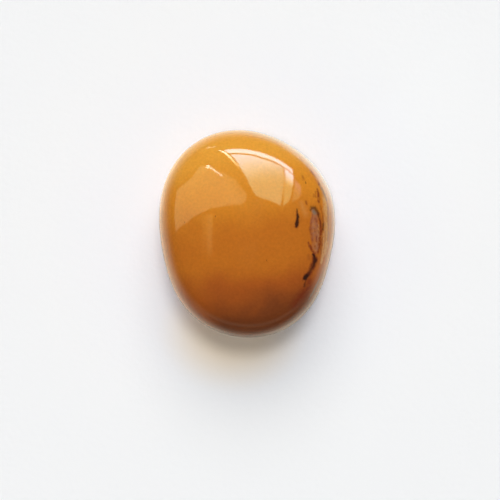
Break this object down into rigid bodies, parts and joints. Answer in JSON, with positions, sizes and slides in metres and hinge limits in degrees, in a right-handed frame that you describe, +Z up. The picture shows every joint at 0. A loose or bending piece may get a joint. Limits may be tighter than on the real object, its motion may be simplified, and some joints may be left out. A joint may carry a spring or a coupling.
{
  "type": "polished mookaite pebble",
  "caption": "Tumbled pebble of mustard-coloured mookaite with a veined side, a rounded crown and a small flat base that it rests on.",
  "frame": {"origin": "middle of the stone's box, on the flat patch that it rests on", "axes": "+Z up through the crown, +Y along the longer way of the stone, +X towards the veined side"},
  "size_m": [0.0238, 0.028, 0.0157],
  "materials": {
    "polished_mookaite": "polished"
  },
  "bodies": {
    "root": {"stone": "polished_mookaite"}
  },
  "joints": []
}
